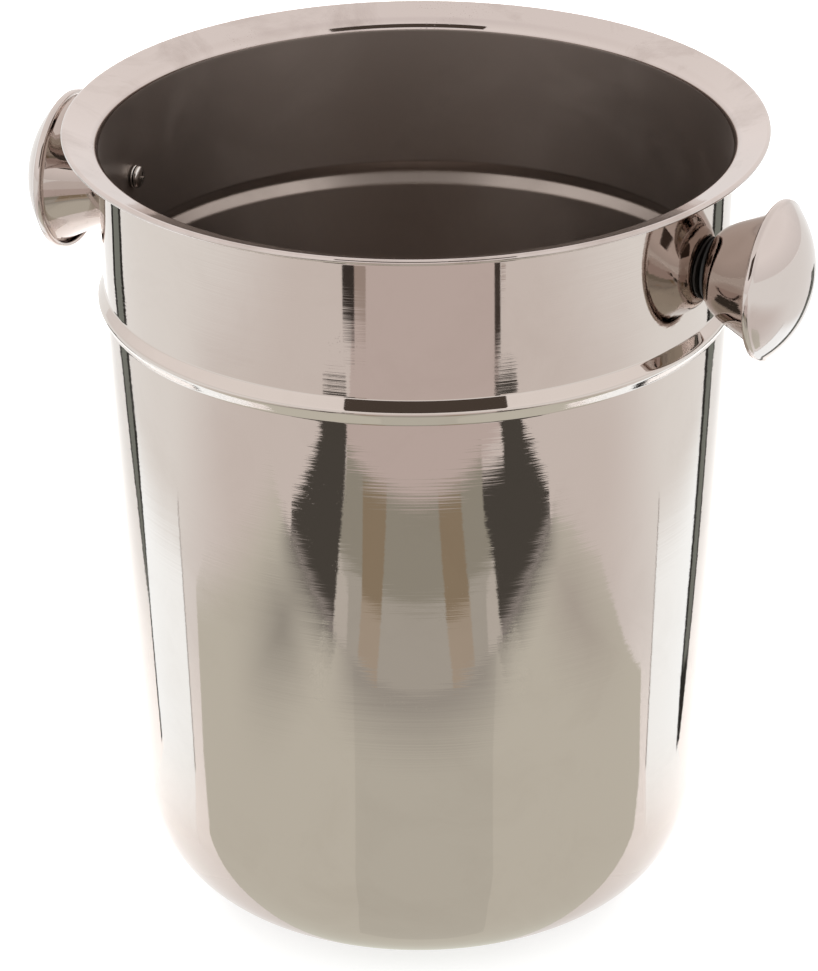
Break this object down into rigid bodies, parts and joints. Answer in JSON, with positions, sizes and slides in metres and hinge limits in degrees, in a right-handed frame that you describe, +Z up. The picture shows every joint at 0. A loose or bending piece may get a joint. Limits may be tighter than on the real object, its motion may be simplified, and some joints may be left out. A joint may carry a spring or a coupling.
{
  "type": "champagne bucket",
  "caption": "Free-standing steel bucket that holds a bottle in ice: tapered round wall with an outward bead, flared hemmed rim, and a fixed round knob each side.",
  "frame": {"origin": "centre of the flat base, on the surface the bucket stands on", "axes": "+Z up along the bucket's axis, +X through the middle of the right-hand knob, -X through the left-hand knob"},
  "size_m": [0.2614, 0.22, 0.2565],
  "materials": {
    "polished_steel": "spun stainless steel, mirror polished outside, satin inside",
    "knob_steel": "pressed stainless steel, mirror polished",
    "plated_steel": "bright plated fasteners",
    "black_rubber": "matt black rubber"
  },
  "bodies": {
    "root": {"bucket_shell": "polished_steel", "right_knob_cone": "knob_steel", "right_knob_cap": "knob_steel", "right_knob_gasket": "black_rubber", "right_knob_washer": "plated_steel", "right_knob_nut": "plated_steel", "right_knob_screw": "plated_steel", "left_knob_cone": "knob_steel", "left_knob_cap": "knob_steel", "left_knob_gasket": "black_rubber", "left_knob_washer": "plated_steel", "left_knob_nut": "plated_steel", "left_knob_screw": "plated_steel"}
  },
  "joints": []
}
